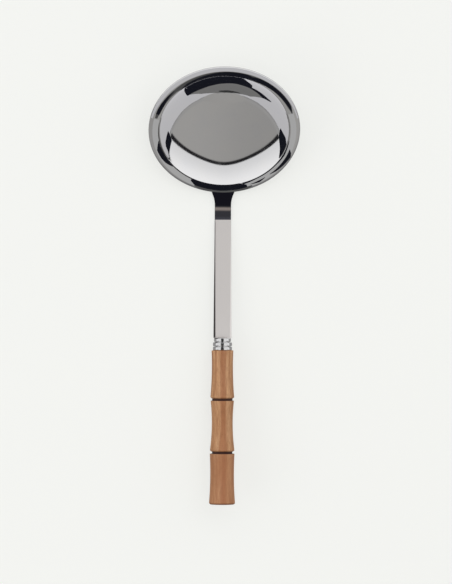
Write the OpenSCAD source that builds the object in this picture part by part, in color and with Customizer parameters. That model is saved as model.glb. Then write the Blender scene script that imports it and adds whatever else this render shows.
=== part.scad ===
// Table ladle: a drawn steel bowl with a rolled lip, a flat steel shank that is welded under the lip, and a
// turned wooden handle in the form of a bamboo cane. It lies on its bowl and its bend, bowl towards +Y.
// The side view is drawn in a frame of its own, in which the handle's axis is the Y axis and the straight part
// of the shank ends at zero. The whole is then turned by the angle at which it comes to rest on a table.

/* [Bowl] */
// Outside diameter of the lip
lip_d = 96; // [80:0.5:120]
// Width of the lip, from the mouth to its outer edge
lip_w = 6.4; // [5:0.1:7.5]
// Radius of the lip's rolled top
lip_roll_r = 5.2; // [5:0.1:12]
// How far the middle of the lip's rounded edge lies below the mouth
lip_drop = 1.2; // [0.6:0.1:1.8]
// Depth of the hollow below the mouth
bowl_depth = 22; // [19:0.5:30]
// Thickness of the bowl's sheet steel
bowl_wall = 1.2; // [0.8:0.1:1.6]
// Angle between the plane of the mouth and the handle
bowl_tilt = 34.5; // [30:0.5:40]

/* [Shank] */
// Length of the straight part, from the collar to the bend
shank_len = 75.4; // [50:0.5:120]
// Width at the collar
shank_w = 11.6; // [9:0.1:14]
// Width at the narrowest place, just past the bend
neck_w = 10.4; // [8:0.1:13]
// Thickness at the collar
shank_t = 4.6; // [3.8:0.1:7]
// Thickness of the neck, from the bend to the bowl
neck_t = 2.2; // [1.8:0.1:3]
// Length of the neck along the handle's axis, from the bend to the lip's edge
neck_len = 17.8; // [14:0.1:24]
// Slope of the neck as it rises to the lip
neck_slope = 12; // [8:1:16]
// Radius of the bend between the shank and the neck
bend_r = 25; // [15:1:40]
// Radius of the flare on each side of the neck
flare_r = 18.6; // [14:0.2:30]
// Length of the flare that shows in front of the lip
flare_len = 8.9; // [6:0.1:12]
// Width of the root where it meets the bowl's wall
root_w = 22; // [18:0.5:28]
// How much the radius of the rounded sides exceeds half the thickness at the collar
side_ease = 0.5; // [0.2:0.1:1.2]
// Leg of the weld under the root
weld_leg = 1.5; // [1:0.1:3]

/* [Tang] */
// Length of the tang behind the shank's shoulder
tang_len = 62; // [40:1:80]
// Width of the tang
tang_w = 6; // [5:0.1:6.6]
// Thickness of the tang
tang_t = 3.2; // [2.4:0.1:4]
// Number of notches in each edge of the tang
tang_notches = 5; // [2:1:8]
// Depth of each notch
notch_depth = 0.8; // [0.4:0.1:1.2]
// Length of each notch
notch_len = 2.4; // [1.5:0.1:4]
// Clearance between the tang's corners and the bore
glue_gap = 0.3; // [0.2:0.1:0.5]
// Length of the tang that stands out of the adhesive at its end
tang_bare = 3; // [1:0.5:4]

/* [Collar] */
// Diameter of the small bead next to the shank
bead_d = 10.8; // [9.6:0.1:12.4]
// Diameter of the two large beads
rib_d = 12.2; // [10.4:0.1:13.4]
// Length of the small bead
bead_len = 2.6; // [2:0.1:4]
// Length of each large bead
rib_len = 2.4; // [1.8:0.1:4]
// Width of the groove between two beads
rib_gap = 0.3; // [0.2:0.1:0.8]
// Wall of the collar between the bore and the bottom of a groove
collar_wall = 0.8; // [0.5:0.1:1]
// How far the rim of each bead is rounded
bead_bulge = 0.45; // [0.3:0.05:0.6]

/* [Handle] */
// Length of the joint next to the collar
upper_len = 30.6; // [24:0.2:40]
// Length of the middle joint
middle_len = 32.4; // [24:0.2:40]
// Length of the end joint
end_len = 32.4; // [24:0.2:40]
// Diameters of the joint next to the collar: at its start, at its waist and at its end
upper_d = [13.9, 13.6, 15.2]; // [13:0.1:18]
// Diameters of the middle joint
middle_d = [14.9, 13.4, 15.7]; // [13:0.1:18]
// Diameters of the end joint
end_d = [15.8, 15.2, 16.6]; // [13:0.1:20]
// Width of the turned groove between two joints
groove_w = 1.5; // [1:0.1:2.5]
// Diameter at the bottom of the groove
groove_d = 13; // [11:0.1:13]
// Chamfer on the joint above each groove
groove_chamfer = 0.7; // [0.3:0.1:1]
// Rounding at the handle's end
end_round = 1.2; // [0.6:0.1:2]
// Clear depth past the tang's end
bore_spare = 2; // [1:0.5:5]

/* [Hidden] */
// One name for each separate piece
// How far a cutting shape runs past the face that it cuts
overrun = 1;
// Segments of a full turn
$fn = 120;
// Point angle of the drill that made the bore
drill_point = 118;

// The sides of the bar and the bore follow what they go round
side_r = shank_t / 2 + side_ease;
bore_d = norm([tang_w, tang_t]) + 2 * glue_gap;

// Bowl, in its own frame: the axis is Z and the mouth lies at zero
lip_r = lip_d / 2;
mouth_r = lip_r - lip_w;
// The inside is part of a sphere
sphere_r = (mouth_r * mouth_r + bowl_depth * bowl_depth) / (2 * bowl_depth);
sphere_z = sphere_r - bowl_depth;
shell_r = sphere_r + bowl_wall;
// The lip's edge is a full round, and its top is an arc from the mouth that runs into it
lip_edge = [lip_r - bowl_wall / 2, -lip_drop];
edge_roll_r = lip_roll_r - bowl_wall / 2;
lip_chord = norm([lip_edge[0] - mouth_r, lip_drop]);
lip_lean = atan2(lip_drop, lip_edge[0] - mouth_r);
lip_along = (lip_roll_r * lip_roll_r - edge_roll_r * edge_roll_r + lip_chord * lip_chord) / (2 * lip_chord);
lip_below = sqrt(lip_roll_r * lip_roll_r - lip_along * lip_along);
lip_c = [mouth_r + lip_along * cos(lip_lean) - lip_below * sin(lip_lean),
         -lip_along * sin(lip_lean) - lip_below * cos(lip_lean)];
// Angles from the vertical at which the arc starts and ends
lip_in = atan2(mouth_r - lip_c[0], -lip_c[1]);
lip_out = atan2(lip_edge[0] - lip_c[0], lip_edge[1] - lip_c[1]);

// Side view: the end of the bend, and the neck from there to the lip's edge and on to the bowl's wall
bend_y = bend_r * sin(neck_slope);
bend_z = bend_r * (1 - cos(neck_slope));
neck_run = (neck_len - bend_y) / cos(neck_slope);
flare_start = neck_run - flare_len;
// The lip's edge is let into the top of the neck by half the thickness of the sheet
edge_y = neck_len + bowl_wall / 2 * sin(neck_slope);
edge_z = bend_z + neck_run * sin(neck_slope) + neck_t / 2;
mouth_y = edge_y + lip_edge[0] * cos(bowl_tilt) - lip_drop * sin(bowl_tilt);
mouth_z = edge_z + lip_edge[0] * sin(bowl_tilt) + lip_drop * cos(bowl_tilt);
ball_y = mouth_y - sphere_z * sin(bowl_tilt);
ball_z = mouth_z + sphere_z * cos(bowl_tilt);
// The centre of the ball, seen along the neck: the root runs on to it, and the bowl cuts it off at its wall
neck_ball = [(ball_y - bend_y) * cos(neck_slope) + (ball_z - bend_z) * sin(neck_slope),
             (ball_z - bend_z) * cos(neck_slope) - (ball_y - bend_y) * sin(neck_slope)];
root_run = neck_ball[0];
// Radius of the curve on which the root's underside meets the ball
seam_r = sqrt(shell_r * shell_r - (neck_ball[1] + neck_t / 2) * (neck_ball[1] + neck_t / 2));

// Collar and handle, along the axis towards -Y
collar_len = bead_len + 2 * rib_len + 2 * rib_gap;
handle_y = -shank_len - collar_len;
handle_len = upper_len + middle_len + end_len + 2 * groove_w;
end_y = handle_y - handle_len;
bore_len = tang_len - collar_len + bore_spare;

// Besides its bowl the ladle can lie on the underside of the bend, or on the start or the end of a joint of the
// handle. For each of these: the place of its centre, how far that lies below the axis, and its radius
upper_end = handle_y - upper_len;
middle_end = upper_end - groove_w - middle_len;
rests = [[0, -bend_r, bend_r + neck_t / 2],
         [handle_y, upper_d[0] / 2, 0],
         [upper_end + groove_chamfer, upper_d[2] / 2, 0],
         [upper_end - groove_w, middle_d[0] / 2, 0],
         [middle_end + groove_chamfer, middle_d[2] / 2, 0],
         [middle_end - groove_w, end_d[0] / 2, 0],
         [end_y + end_round, end_d[2] / 2 - end_round, end_round]];
// Of the angles that bring each of these down to the table, the steepest holds up all the others
rest_angle = min([for (p = rests) asin((shell_r - p[2]) / norm([ball_y - p[0], ball_z + p[1]]))
                                  - atan2(ball_z + p[1], ball_y - p[0])]);
rest_z = shell_r - ball_y * sin(rest_angle) - ball_z * cos(rest_angle);
// The origin is below the middle of the whole length, from the handle's end to the far edge of the lip
full_tilt = bowl_tilt + rest_angle;
front_y = mouth_y * cos(rest_angle) - mouth_z * sin(rest_angle)
          + lip_edge[0] * cos(full_tilt) + lip_drop * sin(full_tilt) + bowl_wall / 2;
back_y = (end_y + end_round) * cos(rest_angle) - (end_d[2] / 2 - end_round) * abs(sin(rest_angle)) - end_round;
mid_y = (front_y + back_y) / 2;

// Places a shape drawn in the frame of the side view
module at_rest() {
    translate([0, -mid_y, rest_z]) rotate([rest_angle, 0, 0]) children();
}

// Places a shape drawn in the bowl's frame
module at_bowl() {
    at_rest() translate([0, mouth_y, mouth_z]) rotate([bowl_tilt, 0, 0]) children();
}

// Places a shape turned about Z, with its start at y and running towards the handle's end
module along_handle(y) {
    at_rest() translate([0, y, 0]) rotate([90, 0, 0]) children();
}

// A wedge from the lip's centre, between two angles from the vertical
module lip_sector(from, to) {
    reach = lip_roll_r + overrun;
    middle = (from + to) / 2;
    far = reach / cos((to - from) / 2) + overrun;
    polygon([[0, 0],
             [far * sin(from), far * cos(from)],
             [far * sin(middle), far * cos(middle)],
             [far * sin(to), far * cos(to)]]);
}

// The lip's strip of sheet, with a full round at its outer edge
module lip_strip() {
    translate(lip_c) {
        intersection() {
            difference() {
                circle(r = lip_roll_r);
                circle(r = lip_roll_r - bowl_wall);
            }
            lip_sector(lip_in, lip_out);
        }
    }
    translate(lip_edge) circle(d = bowl_wall);
}

// Half of the section through the part of a ball that lies below the mouth
module ball_below(r) {
    intersection() {
        translate([0, sphere_z]) circle(r = r);
        translate([0, -r]) square([r, r]);
    }
}

// Half of the section through the bowl
module bowl_section() {
    difference() {
        ball_below(shell_r);
        ball_below(sphere_r);
    }
    lip_strip();
}

module bowl() {
    color("silver") at_bowl() rotate_extrude() bowl_section();
}

// The space that the bowl takes, filled in, to trim what is fitted to its outside
module bowl_filled() {
    at_bowl() rotate_extrude() {
        ball_below(shell_r);
        lip_strip();
    }
}

// Places a shape drawn along the neck: Y runs up the slope from the bend, Z is square to it
module along_neck() {
    translate([0, bend_y, bend_z]) rotate([neck_slope, 0, 0]) children();
}

// Side view of the whole bar: a wedge from the collar, the bend, and the neck as far as the bowl's wall
module side_view() {
    far = 2 * (bend_r + neck_t);
    polygon([[-shank_len, -shank_t / 2], [0, -neck_t / 2], [0, neck_t / 2], [-shank_len, shank_t / 2]]);
    translate([0, bend_r]) intersection() {
        difference() {
            circle(r = bend_r + neck_t / 2);
            circle(r = bend_r - neck_t / 2);
        }
        polygon([[0, 0], [0, -far], [far * sin(neck_slope), -far * cos(neck_slope)]]);
    }
    translate([bend_y, bend_z]) rotate(neck_slope) translate([0, -neck_t / 2]) square([root_run, neck_t]);
}

// A flat bar's rounded sides, before its faces are cut: a slab between two round rods
module rounded_bar(w, length) {
    translate([side_r - w / 2, 0, -side_r]) cube([w - 2 * side_r, length, 2 * side_r]);
    for (side = [-1, 1]) translate([side * (w / 2 - side_r), 0, 0]) rotate([-90, 0, 0])
        cylinder(r = side_r, h = length);
}

// The same for the straight bar, whose sides spread towards the collar and run on through the bend
module spreading_bar() {
    neck_x = neck_w / 2 - side_r;
    collar_x = shank_w / 2 - side_r;
    spread = atan2(collar_x - neck_x, shank_len);
    linear_extrude(2 * side_r, center = true)
        polygon([[-collar_x, -shank_len], [collar_x, -shank_len], [neck_x, 0], [neck_x, bend_y],
                 [-neck_x, bend_y], [-neck_x, 0]]);
    for (side = [-1, 1]) translate([side * neck_x, 0, 0]) {
        rotate([90, 0, side * spread]) cylinder(r = side_r, h = shank_len + overrun);
        rotate([-90, 0, 0]) cylinder(r = side_r, h = bend_y);
        sphere(r = side_r);
    }
}

// The neck and its root, which flare on both sides with the same rounding
module flaring_neck() {
    flare_x = neck_w / 2 + flare_r;
    rounded_bar(neck_w, root_run + overrun);
    difference() {
        translate([-root_w / 2, flare_start, -side_r]) cube([root_w, root_run + overrun - flare_start, 2 * side_r]);
        for (side = [-1, 1]) translate([side * flare_x, flare_start, 0]) rotate_extrude() difference() {
            translate([0, -side_r - overrun]) square([flare_r + side_r, 2 * side_r + 2 * overrun]);
            translate([flare_r + side_r, 0]) circle(r = side_r);
        }
    }
}

// The flat tang behind the shoulder, notched so that the adhesive keys to it
module tang_bar() {
    pitch = tang_len / (tang_notches + 1);
    difference() {
        translate([-tang_w / 2, -shank_len - tang_len, -tang_t / 2]) cube([tang_w, tang_len + overrun, tang_t]);
        for (i = [1:tang_notches], side = [-1, 1])
            translate([side * tang_w / 2 - notch_depth, -shank_len - i * pitch - notch_len / 2, -tang_t / 2 - overrun])
                cube([2 * notch_depth, notch_len, tang_t + 2 * overrun]);
    }
}

module shank() {
    color("lightgray") {
        difference() {
            at_rest() intersection() {
                rotate([90, 0, 90]) linear_extrude(root_w + 2 * overrun, center = true) side_view();
                union() {
                    spreading_bar();
                    along_neck() flaring_neck();
                }
            }
            bowl_filled();
        }
        at_rest() tang_bar();
    }
}

// The weld follows the curve on which the root's underside meets the bowl's wall
module root_weld() {
    half_turn = asin((root_w / 2 - weld_leg) / seam_r);
    color("darkgray") difference() {
        at_rest() along_neck() translate([0, neck_ball[0], -neck_t / 2]) rotate(-90 - half_turn)
            rotate_extrude(angle = 2 * half_turn) intersection() {
                translate([seam_r, 0]) circle(r = weld_leg);
                translate([0, -weld_leg]) square([seam_r + weld_leg, weld_leg]);
            }
        bowl_filled();
    }
}

// A bead of the collar: a disc with a round rim
module bead(r, h, bulge) {
    square([r - bulge, h]);
    intersection() {
        translate([r - bulge, 0]) square([bulge, h]);
        translate([r - (h * h / 4 + bulge * bulge) / (2 * bulge), h / 2])
            circle(r = (h * h / 4 + bulge * bulge) / (2 * bulge));
    }
}

module collar() {
    neck_r = bore_d / 2 + collar_wall;
    color("silver") along_handle(-shank_len) difference() {
        rotate_extrude() {
            bead(bead_d / 2, bead_len, bead_bulge);
            square([neck_r, collar_len]);
            for (i = [0, 1])
                translate([0, bead_len + rib_gap + i * (rib_len + rib_gap)])
                    bead(rib_d / 2, rib_len, bead_bulge);
        }
        translate([0, 0, -overrun]) cylinder(d = bore_d, h = collar_len + 2 * overrun);
    }
}

// Centre and radius of the circle through three points
function circle_3(a, b, c) =
    let(d = 2 * (a[0] * (b[1] - c[1]) + b[0] * (c[1] - a[1]) + c[0] * (a[1] - b[1])),
        x = ((a * a) * (b[1] - c[1]) + (b * b) * (c[1] - a[1]) + (c * c) * (a[1] - b[1])) / d,
        y = ((a * a) * (c[0] - b[0]) + (b * b) * (a[0] - c[0]) + (c * c) * (b[0] - a[0])) / d)
    [x, y, norm([a[0] - x, a[1] - y])];

// Half of the section through one joint of the cane, with its waist drawn in by an arc
module cane_joint(d, h, chamfer) {
    ring = circle_3([d[0] / 2, 0], [d[1] / 2, h / 2], [d[2] / 2, h - chamfer]);
    difference() {
        polygon([[0, 0], [d[0] / 2, 0], [d[2] / 2, h - chamfer], [d[2] / 2 - chamfer, h], [0, h]]);
        translate([ring[0], ring[1]]) circle(r = ring[2], $fn = 12 * $fn);
    }
}

// Half of the section through the end joint, rounded at the handle's end
module cane_end(d, h, round) {
    intersection() {
        cane_joint([d[0], d[1], d[2]], h, round);
        union() {
            square([d[2] / 2, h - round]);
            translate([0, h - round]) square([d[2] / 2 - round, round]);
            translate([d[2] / 2 - round, h - round]) circle(r = round);
        }
    }
}

module handle() {
    middle_y = upper_len + groove_w;
    last_y = middle_y + middle_len + groove_w;
    color("peru") along_handle(handle_y) difference() {
        rotate_extrude() {
            square([groove_d / 2, handle_len - end_round]);
            cane_joint(upper_d, upper_len, groove_chamfer);
            translate([0, middle_y]) cane_joint(middle_d, middle_len, groove_chamfer);
            translate([0, last_y]) cane_end(end_d, end_len, end_round);
        }
        translate([0, 0, -overrun]) cylinder(d = bore_d, h = bore_len + overrun);
        translate([0, 0, bore_len]) cylinder(d1 = bore_d, d2 = 0, h = bore_d / 2 / tan(drill_point / 2));
    }
}

// Cured adhesive round the tang, in the collar and in the handle's bore
module tang_adhesive() {
    color("khaki") difference() {
        along_handle(-shank_len) cylinder(d = bore_d, h = tang_len - tang_bare);
        at_rest() tang_bar();
    }
}

bowl();
shank();
root_weld();
collar();
handle();
tang_adhesive();
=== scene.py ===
# %% [markdown]
# # A ladle with a cane handle
#
# The ladle has a drawn steel bowl, a flat steel shank and a wooden handle turned like a bamboo cane. Its
# sizes and its resting place come from the imported model, which is loaded first and never moved.

# %% Load the imported model
import math
import bmesh
import bpy
from mathutils import Euler, Matrix, Vector


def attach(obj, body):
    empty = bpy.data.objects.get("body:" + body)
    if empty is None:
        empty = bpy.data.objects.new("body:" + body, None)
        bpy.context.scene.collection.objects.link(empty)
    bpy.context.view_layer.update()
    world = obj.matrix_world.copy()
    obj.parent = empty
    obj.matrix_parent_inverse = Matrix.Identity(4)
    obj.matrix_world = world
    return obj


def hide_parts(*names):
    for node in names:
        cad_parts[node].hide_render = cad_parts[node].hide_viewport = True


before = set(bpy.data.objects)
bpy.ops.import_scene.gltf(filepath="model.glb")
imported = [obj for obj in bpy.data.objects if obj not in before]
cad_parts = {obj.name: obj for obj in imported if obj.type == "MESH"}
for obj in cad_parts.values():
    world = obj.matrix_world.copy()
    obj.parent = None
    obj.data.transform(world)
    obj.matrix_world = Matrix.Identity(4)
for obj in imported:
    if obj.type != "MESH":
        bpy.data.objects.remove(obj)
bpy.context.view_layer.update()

# %% [markdown]
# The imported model's main sizes are written here once more, in millimetres, so that every new piece follows
# from the same numbers as the solid that it lands on. A joint of the handle has its diameters at the start,
# the waist and the end, and its length. MM turns millimetres into Blender's metres.

# %% Sizes of the ladle
MM = 0.001

LIP_R, LIP_W, LIP_ROLL_R, LIP_DROP = 48.0, 6.4, 5.2, 1.2
BOWL_DEPTH, BOWL_WALL, BOWL_TILT = 22.0, 1.2, 34.5
SHANK_LEN, SHANK_W, SHANK_T = 75.4, 11.6, 4.6
NECK_W, NECK_T, NECK_LEN, NECK_SLOPE, BEND_R = 10.4, 2.2, 17.8, 12.0, 25.0
FLARE_R, FLARE_LEN, ROOT_W, SIDE_R = 18.6, 8.9, 22.0, 2.8
BEAD_D, RIB_D, BEAD_LEN, RIB_LEN, RIB_GAP, COLLAR_WALL, BEAD_BULGE = 10.8, 12.2, 2.6, 2.4, 0.3, 0.8, 0.45
JOINTS = [(13.9, 13.6, 15.2, 30.6), (14.9, 13.4, 15.7, 32.4), (15.8, 15.2, 16.6, 32.4)]
GROOVE_W, GROOVE_D, GROOVE_CHAMFER, END_ROUND = 1.5, 13.0, 0.7, 1.2
TANG_LEN, TANG_W, TANG_T, GLUE_GAP, BORE_SPARE = 62.0, 6.0, 3.2, 0.3, 2.0

COLLAR_LEN = BEAD_LEN + 2 * RIB_LEN + 2 * RIB_GAP
HANDLE_LEN = sum(joint[3] for joint in JOINTS) + 2 * GROOVE_W
HANDLE_Y = -SHANK_LEN - COLLAR_LEN
BORE_D = math.hypot(TANG_W, TANG_T) + 2 * GLUE_GAP
BORE_LEN = TANG_LEN - COLLAR_LEN + BORE_SPARE
MOUTH_R = LIP_R - LIP_W
SPHERE_R = (MOUTH_R ** 2 + BOWL_DEPTH ** 2) / (2 * BOWL_DEPTH)
SPHERE_Z = SPHERE_R - BOWL_DEPTH
SHELL_R = SPHERE_R + BOWL_WALL
LIP_EDGE = Vector((LIP_R - BOWL_WALL / 2, -LIP_DROP))
print("shank %.1f mm, collar %.1f mm, handle %.1f mm" % (SHANK_LEN, COLLAR_LEN, HANDLE_LEN))

# %% [markdown]
# The ladle is drawn along an imaginary handle axis, and then turned by the small angle at which it comes to
# rest on its bowl and the underside of its bend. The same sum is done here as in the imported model. Writing
# it out, instead of fitting by eye, keeps all the pieces seated on each other when a size changes. Besides
# its bowl the ladle could lie on the bend, or on the start or the end of a joint. Each of these places has a
# centre, a distance of that centre below the axis and a radius, and gives the angle at which it touches the
# table. The steepest of these angles holds up all the other places.

# %% The place where it rests


def turn(y, z, degrees):
    """Turns a point of the side view about its origin."""
    a = math.radians(degrees)
    return y * math.cos(a) - z * math.sin(a), y * math.sin(a) + z * math.cos(a)


slope = math.radians(NECK_SLOPE)
bend_y = BEND_R * math.sin(slope)
bend_z = BEND_R * (1 - math.cos(slope))
neck_run = (NECK_LEN - bend_y) / math.cos(slope)
edge_y = NECK_LEN + BOWL_WALL / 2 * math.sin(slope)
edge_z = bend_z + neck_run * math.sin(slope) + NECK_T / 2
reach = turn(LIP_EDGE.x, LIP_DROP, BOWL_TILT)
mouth = (edge_y + reach[0], edge_z + reach[1])
sink = turn(0, SPHERE_Z, BOWL_TILT)
ball = (mouth[0] + sink[0], mouth[1] + sink[1])
rests = [(0.0, -BEND_R, BEND_R + NECK_T / 2)]
end = HANDLE_Y
for start_d, _, end_d, length in JOINTS:
    rests += [(end, start_d / 2, 0.0), (end - length + GROOVE_CHAMFER, end_d / 2, 0.0)]
    end -= length + GROOVE_W
END_Y = end + GROOVE_W
rests[-1] = (END_Y + END_ROUND, JOINTS[-1][2] / 2 - END_ROUND, END_ROUND)
REST = min(math.degrees(math.asin((SHELL_R - around) / math.hypot(ball[0] - y, ball[1] + radius))
                        - math.atan2(ball[1] + radius, ball[0] - y)) for y, radius, around in rests)
rest_z = SHELL_R - turn(*ball, REST)[1]
rim = turn(LIP_EDGE.x, -LIP_DROP, BOWL_TILT + REST)
front_y = turn(*mouth, REST)[0] + rim[0] + BOWL_WALL / 2
heel = turn(END_Y + END_ROUND, -(JOINTS[-1][2] / 2 - END_ROUND), REST)
heel_top = turn(END_Y + END_ROUND, JOINTS[-1][2] / 2 - END_ROUND, REST)
mid_y = (front_y + min(heel[0], heel_top[0]) - END_ROUND) / 2

AT_REST = (Matrix.Translation((0, -mid_y * MM, rest_z * MM)) @ Matrix.Rotation(math.radians(REST), 4, "X")
           @ Matrix.Scale(MM, 4))
AT_BOWL = AT_REST @ Matrix.Translation((0, *mouth)) @ Matrix.Rotation(math.radians(BOWL_TILT), 4, "X")


def along_handle(y):
    """Place of a piece turned about Z whose start is at y and which runs towards the handle's end."""
    return AT_REST @ Matrix.Translation((0, y, 0)) @ Matrix.Rotation(math.radians(90), 4, "X")


def new_object(name, data):
    """A new object in the scene, at the origin."""
    made = bpy.data.objects.new(name, data)
    bpy.context.scene.collection.objects.link(made)
    return made


print("rest angle %.5f, height %.4f mm, middle %.4f mm" % (REST, rest_z, mid_y))

# %% [markdown]
# The camera looks down nearly at a right angle to the handle, as the product was photographed, from far
# away with a long lens, so that the lines hardly converge. The picture is taller than it is wide, and the
# long side of the sensor goes with its height. The lens follows from the distance and from what one pixel
# of the photograph measures on the ladle, so the ladle fills the frame as it does there.

# %% Camera
PICTURE_HEIGHT = 584
PIXEL = 0.63826
CAMERA_FAR = 4000.0
CAMERA_LEAN, CAMERA_SIDE, CAMERA_ROLL = 7.949, 1.5, 0.35
OFF_CENTRE_PIXELS = 3.4
AIM = Vector((OFF_CENTRE_PIXELS * PIXEL, -6.72, 6.0))
SENSOR = 36.0
FARTHEST_SEEN = 100

camera_data = bpy.data.cameras.new("camera")
camera = new_object("camera", camera_data)
bpy.context.scene.camera = camera
camera_data.sensor_fit = "AUTO"
camera_data.sensor_width = SENSOR
camera_data.lens = SENSOR * CAMERA_FAR / (PICTURE_HEIGHT * PIXEL)
camera_data.clip_end = FARTHEST_SEEN
looking = Euler((math.radians(-CAMERA_LEAN), math.radians(-CAMERA_SIDE), 0), "XYZ").to_matrix()
looking = looking @ Matrix.Rotation(math.radians(CAMERA_ROLL), 3, "Z")
camera.rotation_euler = looking.to_euler()
camera.location = (AIM + looking @ Vector((0, 0, CAMERA_FAR))) * MM
bpy.context.scene.view_settings.view_transform = "Standard"
print("lens %.1f mm" % camera_data.lens)

# %% [markdown]
# Every material here is a small tree of nodes. A few helpers keep their making short. The first adds a node
# and fills its sockets, each with a value or with the output of another node, and the others use it for
# what comes often: sums, soft steps, mixed colours, noise, and coordinates in millimetres from a piece's
# own place.

# %% Helpers for nodes


def add(tree, kind, inputs=None, **settings):
    """Adds a node, with its settings, and with its inputs set or linked."""
    made = tree.nodes.new(kind)
    for name, value in settings.items():
        setattr(made, name, value)
    for name, value in (inputs or {}).items():
        if isinstance(value, bpy.types.NodeSocket):
            tree.links.new(value, made.inputs[name])
        else:
            made.inputs[name].default_value = value
    return made


def calc(tree, operation, *values):
    """A Math node's result."""
    return add(tree, "ShaderNodeMath", dict(enumerate(values)), operation=operation).outputs[0]


def step(tree, value, low, high):
    """Goes smoothly from 0 to 1 while the value goes from low to high."""
    made = add(tree, "ShaderNodeMapRange", {0: value, 1: low, 2: high}, interpolation_type="SMOOTHSTEP")
    return made.outputs[0]


def blend(tree, factor, first, second):
    """A colour between two colours."""
    return add(tree, "ShaderNodeMix", {0: factor, 6: first, 7: second}, data_type="RGBA").outputs[2]


def noise(tree, vector, scale, detail=2.0, rough=0.5):
    """A Noise texture's value."""
    return add(tree, "ShaderNodeTexNoise", {"Vector": vector, "Scale": scale, "Detail": detail,
                                            "Roughness": rough}).outputs["Fac"]


def split(tree, vector):
    """The three parts of a vector."""
    return add(tree, "ShaderNodeSeparateXYZ", {0: vector}).outputs


def grey(value):
    """A colour without any hue."""
    return (value, value, value, 1)


def empty_material(name):
    """A material with an empty tree."""
    material = bpy.data.materials.new(name)
    material.use_nodes = True
    material.node_tree.nodes.clear()
    print("material:", name)
    return material, material.node_tree


def new_material(name):
    """A material with its shader and its output."""
    material, tree = empty_material(name)
    shader = add(tree, "ShaderNodeBsdfPrincipled")
    add(tree, "ShaderNodeOutputMaterial", {"Surface": shader.outputs[0]})
    return material, tree, shader


def placed(tree, place):
    """Object coordinates in millimetres, seen from a piece's own place."""
    where = add(tree, "ShaderNodeTexCoord").outputs["Object"]
    position, turned, _ = place.decompose()
    settings = {"Vector": where, "Location": position, "Rotation": turned.to_euler(), "Scale": (MM, MM, MM)}
    return add(tree, "ShaderNodeMapping", settings, vector_type="TEXTURE").outputs[0]


def stretched(tree, vector, scale):
    """Coordinates that are stretched along each axis: the smaller the number, the longer the pattern."""
    return add(tree, "ShaderNodeMapping", {"Vector": vector, "Scale": scale}, vector_type="POINT").outputs[0]


def rough_and_bump(tree, shader, rough, strength, distance, height):
    """Links the roughness, and a bump of a height, to the shader."""
    tree.links.new(rough, shader.inputs["Roughness"])
    bump = add(tree, "ShaderNodeBump", {"Strength": strength, "Distance": distance, "Height": height})
    tree.links.new(bump.outputs[0], shader.inputs["Normal"])


# %% [markdown]
# The bowl and the collar are polished stainless steel. A mirror finish is never perfect: under a lamp it
# shows hairline marks that run round the piece, left by the polishing wheel, and faint clouds where it was
# wiped. Both are put into the roughness, the marks into a very shallow bump as well, and the clouds change
# the colour only a little.

# %% Polished steel
POLISHED_TONE = 0.64


def polished_steel(name, place, finish):
    material, tree, shader = new_material(name)
    local = placed(tree, place)
    x, y, z = split(tree, local)
    radius = calc(tree, "SQRT", calc(tree, "ADD", calc(tree, "MULTIPLY", x, x), calc(tree, "MULTIPLY", y, y)))
    rings = add(tree, "ShaderNodeCombineXYZ", {0: calc(tree, "MULTIPLY", radius, 6.0),
                                               1: calc(tree, "MULTIPLY", z, 2.0), 2: 0.0}).outputs[0]
    marks = noise(tree, rings, 1.0, 4.0, 0.7)
    clouds = noise(tree, local, 0.09, 3.0)
    shader.inputs["Metallic"].default_value = 1.0
    cool, warm = (tuple(POLISHED_TONE * share for share in shares) + (1,)
                  for shares in ((0.97, 0.975, 0.99), (1.03, 1.02, 1.0)))
    tree.links.new(blend(tree, clouds, cool, warm), shader.inputs["Base Color"])
    wiped = step(tree, clouds, 0.35, 0.75)
    wear = calc(tree, "ADD", calc(tree, "MULTIPLY", marks, 0.6), wiped)
    rough = add(tree, "ShaderNodeMapRange", {0: wear, 1: 0.2, 2: 1.4, 3: finish, 4: finish * 1.9}).outputs[0]
    rough_and_bump(tree, shader, rough, 0.012, 0.0002, marks)
    return material


# %% [markdown]
# The shank is the same steel with a fine satin finish, brushed along its length, so it shows one calm light
# tone where the bowl shows a whole room. Past the bend the neck's colour holds painted reflections: dark,
# with a narrow pale band, standing in for the dark surroundings and a thin pale thing that the bent steel
# mirrors. They are made by the distance along the shank: first blue-grey, then a pale straw band, then black.

# %% Brushed steel


def brushed_steel(name, place):
    material, tree, shader = new_material(name)
    local = placed(tree, place)
    grain = noise(tree, stretched(tree, local, (7.0, 0.12, 7.0)), 1.0, 4.0, 0.65)
    clouds = noise(tree, local, 0.12, 2.0)
    _, along, _ = split(tree, local)
    neck = step(tree, along, -0.25, 0.15)
    shader.inputs["Metallic"].default_value = 1.0
    satin = blend(tree, grain, (0.73, 0.695, 0.675, 1), (0.79, 0.755, 0.735, 1))
    # Painted reflection: the neck's blue-grey and black stand in for dark surroundings, the pale band for a
    # thin pale thing.
    painted_neck_reflection = blend(tree, clouds, (0.062, 0.063, 0.077, 1), (0.082, 0.083, 0.099, 1))
    uneven = calc(tree, "ADD", along, calc(tree, "MULTIPLY", clouds, 0.6))
    painted_pale_band = calc(tree, "MULTIPLY", step(tree, uneven, 5.4, 7.2),
                 calc(tree, "SUBTRACT", 1.0, step(tree, uneven, 7.4, 9.0)))
    painted_neck_reflection = blend(tree, step(tree, uneven, 7.0, 10.0), painted_neck_reflection, (0.016, 0.015, 0.024, 1))
    painted_neck_reflection = blend(tree, painted_pale_band, painted_neck_reflection, (0.50, 0.435, 0.41, 1))
    tree.links.new(blend(tree, neck, satin, painted_neck_reflection), shader.inputs["Base Color"])
    rough = calc(tree, "ADD", 0.25, calc(tree, "MULTIPLY", grain, 0.12))
    rough = add(tree, "ShaderNodeMix", {0: neck, 2: rough, 3: 0.16}, data_type="FLOAT").outputs[0]
    rough_and_bump(tree, shader, rough, 0.05, 0.0002, grain)
    return material


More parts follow.
